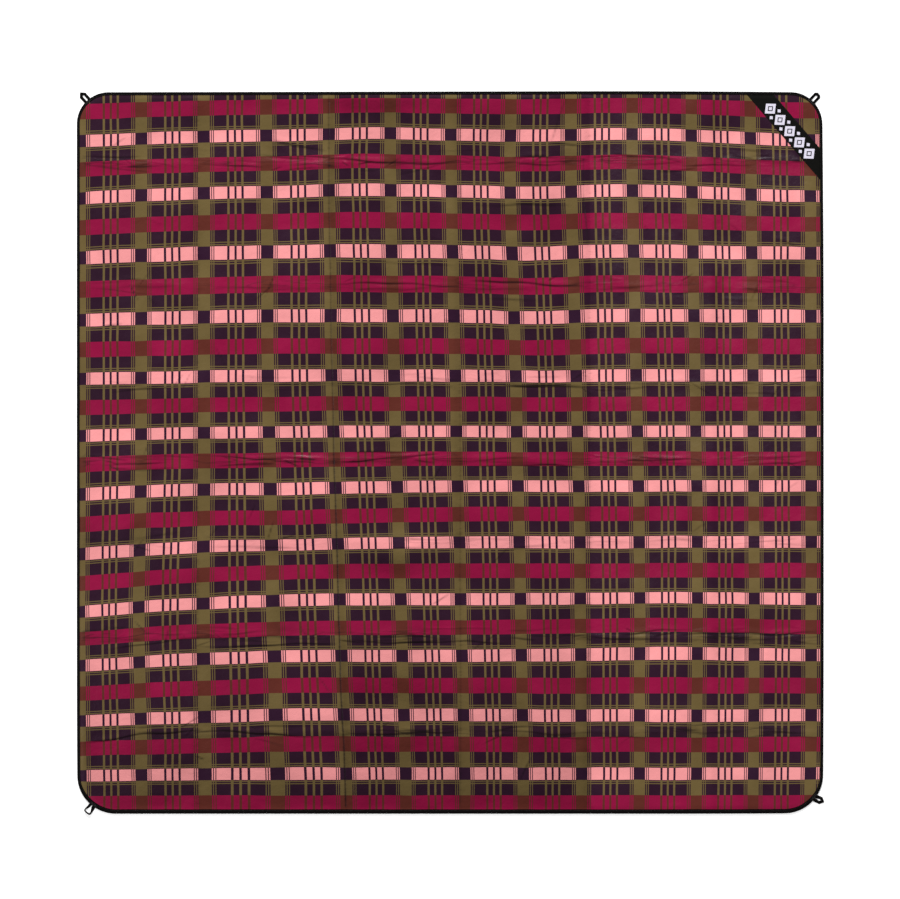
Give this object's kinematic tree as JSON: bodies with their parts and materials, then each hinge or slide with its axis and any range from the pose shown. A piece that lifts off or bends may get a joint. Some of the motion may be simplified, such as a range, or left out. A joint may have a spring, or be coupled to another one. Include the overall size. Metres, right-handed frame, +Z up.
{
  "type": "camp blanket",
  "caption": "Flat padded picnic mat with rounded corners, plaid printed top, taped edge, corner label band and peg loops; fan-folds along its creases.",
  "frame": {"origin": "middle of the mat, on the ground", "axes": "+Z up; +X across the creases, towards the label corner; +Y along the creases, towards the far edge, where the label is"},
  "size_m": [2.0037, 1.9381, 0.0052],
  "materials": {
    "printed_cover": "smooth printed polyester, plaid of plum, crimson, olive and pink, slight satin sheen",
    "foam": "thin closed-cell foam wadding",
    "backing": "waterproof coated fabric, low sheen",
    "binding": "black woven edge tape",
    "label": "black woven band with a plain pale motif",
    "webbing": "black narrow webbing"
  },
  "bodies": {
    "panel_1": {"backing_1": "backing", "foam_1": "foam", "cover_1": "printed_cover", "binding_1": "binding"},
    "panel_2": {"backing_2": "backing", "foam_2": "foam", "cover_2": "printed_cover", "binding_2_near": "binding", "binding_2_far": "binding"},
    "panel_3": {"backing_3": "backing", "foam_3": "foam", "cover_3": "printed_cover", "binding_3_near": "binding", "binding_3_far": "binding"},
    "panel_4": {"backing_4": "backing", "foam_4": "foam", "cover_4": "printed_cover", "binding_4_near": "binding", "binding_4_far": "binding"},
    "panel_5": {"backing_5": "backing", "foam_5": "foam", "cover_5": "printed_cover", "binding_5_near": "binding", "binding_5_far": "binding"},
    "panel_6": {"backing_6": "backing", "foam_6": "foam", "cover_6": "printed_cover", "binding_6": "binding", "label_band": "label"},
    "loop_far_left": {"peg_loop_far_left": "webbing"},
    "loop_far_right": {"peg_loop_far_right": "webbing"},
    "loop_near_right": {"peg_loop_near_right": "webbing"},
    "loop_near_left": {"peg_loop_near_left": "webbing"}
  },
  "joints": [
    {"name": "fan_fold", "type": "hinge", "parent": "panel_1", "child": "panel_2", "pos_m": [-0.676, 0, 0.0061], "axis": [0, -1, 0], "range_deg": [0, 179.9]},
    {"name": "crease_2", "type": "hinge", "parent": "panel_2", "child": "panel_3", "pos_m": [-0.314, 0, -0.0009], "axis": [0, 1, 0], "range_deg": [0, 179.9]},
    {"name": "crease_3", "type": "hinge", "parent": "panel_3", "child": "panel_4", "pos_m": [0.027, 0, 0.0061], "axis": [0, -1, 0], "range_deg": [0, 179.9]},
    {"name": "crease_4", "type": "hinge", "parent": "panel_4", "child": "panel_5", "pos_m": [0.374, 0, -0.0009], "axis": [0, 1, 0], "range_deg": [0, 179.9]},
    {"name": "crease_5", "type": "hinge", "parent": "panel_5", "child": "panel_6", "pos_m": [0.718, 0, 0.0061], "axis": [0, -1, 0], "range_deg": [0, 179.9]},
    {"name": "loop_flap_far_left", "type": "hinge", "parent": "panel_1", "child": "loop_far_left", "pos_m": [-0.97214, 0.94596, 0.00305], "axis": [0.7431, 0.6691, 0], "range_deg": [0, 179.9]},
    {"name": "loop_flap_far_right", "type": "hinge", "parent": "panel_6", "child": "loop_far_right", "pos_m": [0.97324, 0.94496, 0.00305], "axis": [0.7314, -0.682, 0], "range_deg": [0, 179.9]},
    {"name": "loop_flap_near_right", "type": "hinge", "parent": "panel_6", "child": "loop_near_right", "pos_m": [0.97978, -0.92713, 0.00305], "axis": [-0.6018, -0.7986, 0], "range_deg": [0, 179.9]},
    {"name": "loop_flap_near_left", "type": "hinge", "parent": "panel_1", "child": "loop_near_left", "pos_m": [-0.96104, -0.94619, 0.00305], "axis": [-0.788, 0.6157, 0], "range_deg": [0, 179.9]}
  ],
  "couplings": [
    {"joint": "crease_2", "follows": "fan_fold", "ratio": 1},
    {"joint": "crease_3", "follows": "fan_fold", "ratio": 1},
    {"joint": "crease_4", "follows": "fan_fold", "ratio": 1},
    {"joint": "crease_5", "follows": "fan_fold", "ratio": 1}
  ]
}
